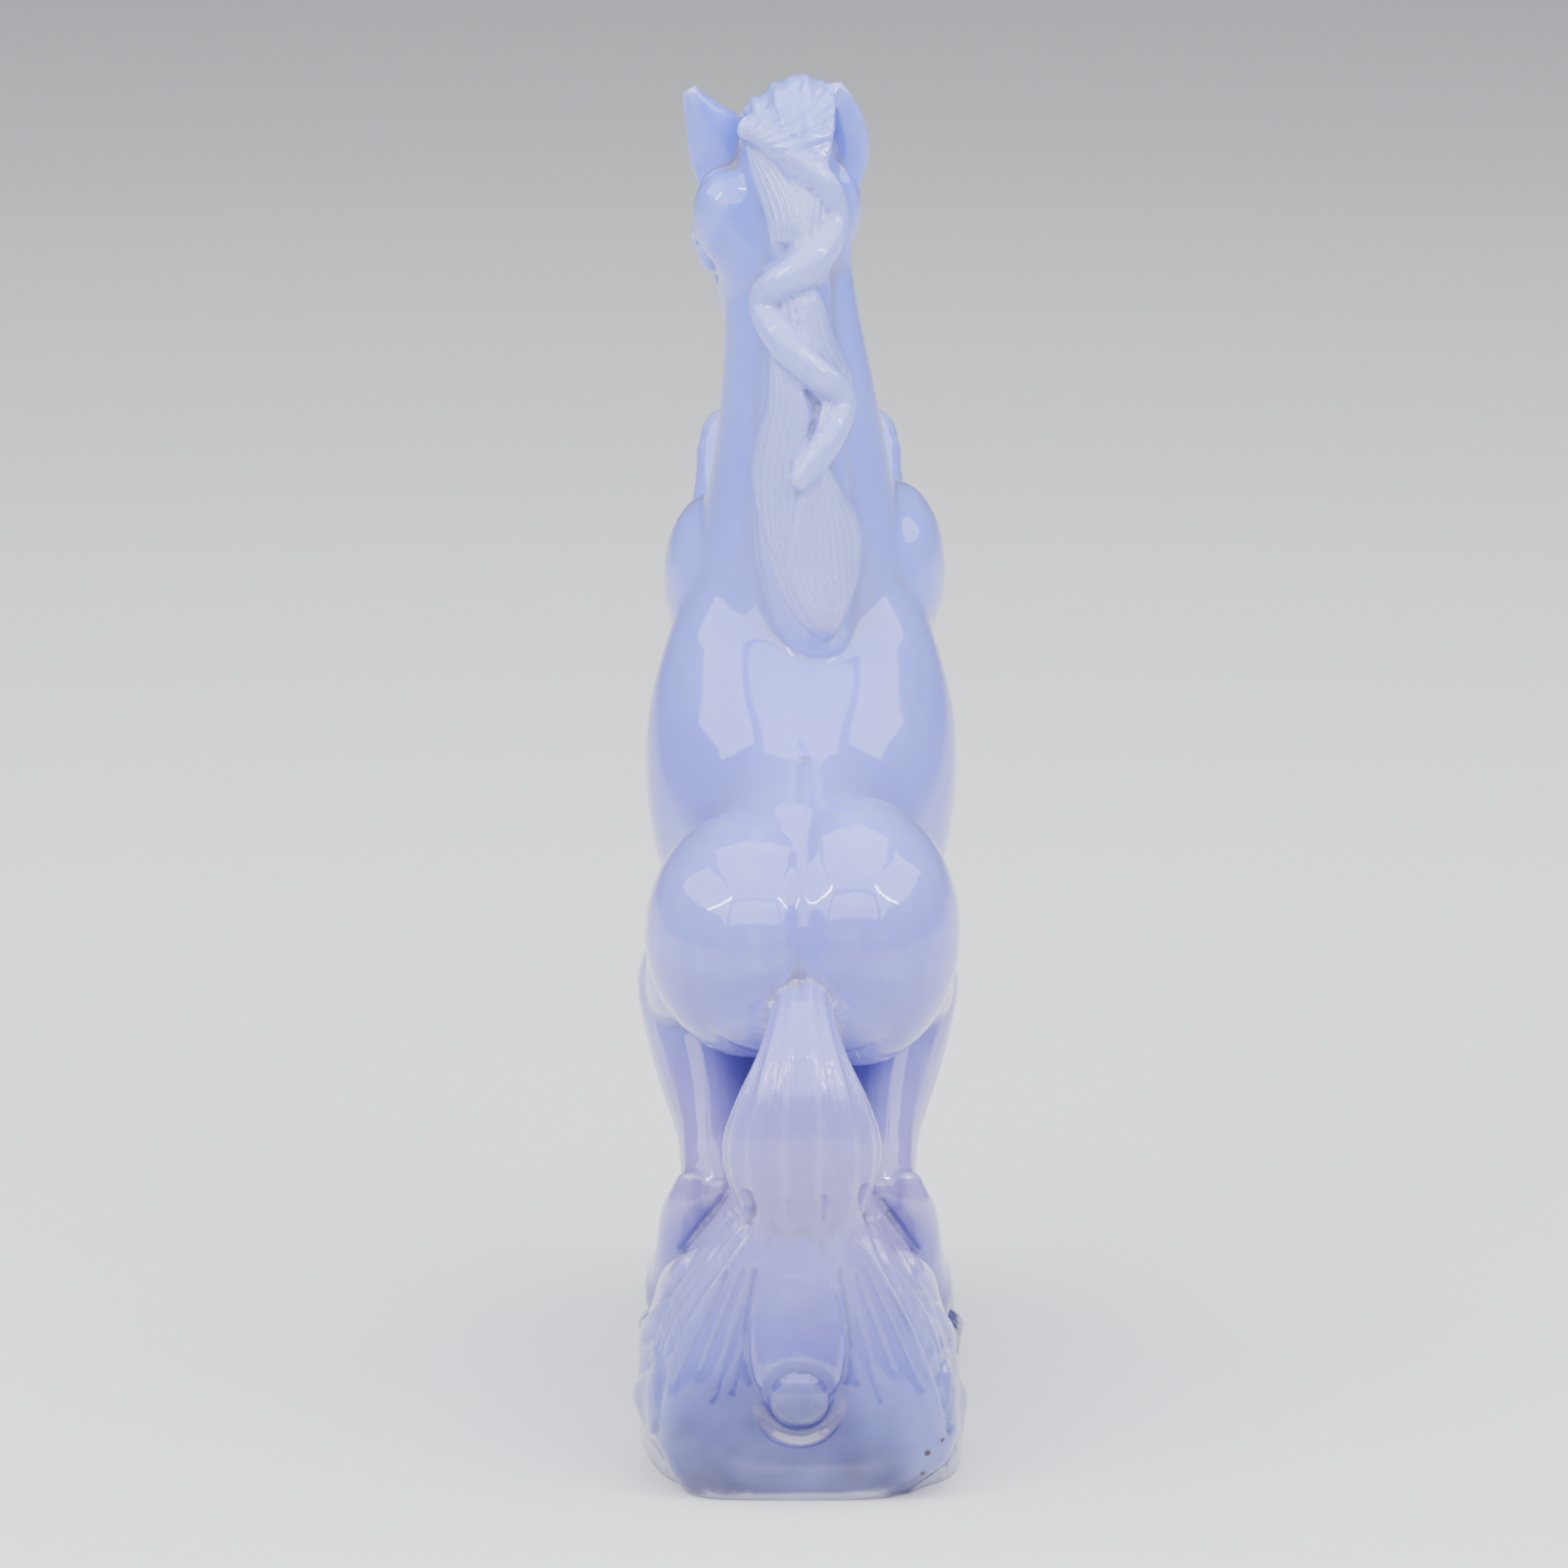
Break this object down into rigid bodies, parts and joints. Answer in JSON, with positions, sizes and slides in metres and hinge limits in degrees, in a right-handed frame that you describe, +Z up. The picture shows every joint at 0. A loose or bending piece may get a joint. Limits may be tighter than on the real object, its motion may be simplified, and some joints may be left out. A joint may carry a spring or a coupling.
{
  "type": "horse carving",
  "caption": "Rearing horse carved from one block of blue chalcedony, standing on its own low rock with a wave under the belly, a twisted mane and a tail spread over the rock.",
  "frame": {"origin": "middle of the rock's flat underside", "axes": "+Z up; the horse faces -Y and its left side is +X"},
  "size_m": [0.0381, 0.1006, 0.1502],
  "materials": {
    "blue_chalcedony": "polished, slightly translucent"
  },
  "bodies": {
    "root": {"horse_carving": "blue_chalcedony"}
  },
  "joints": []
}
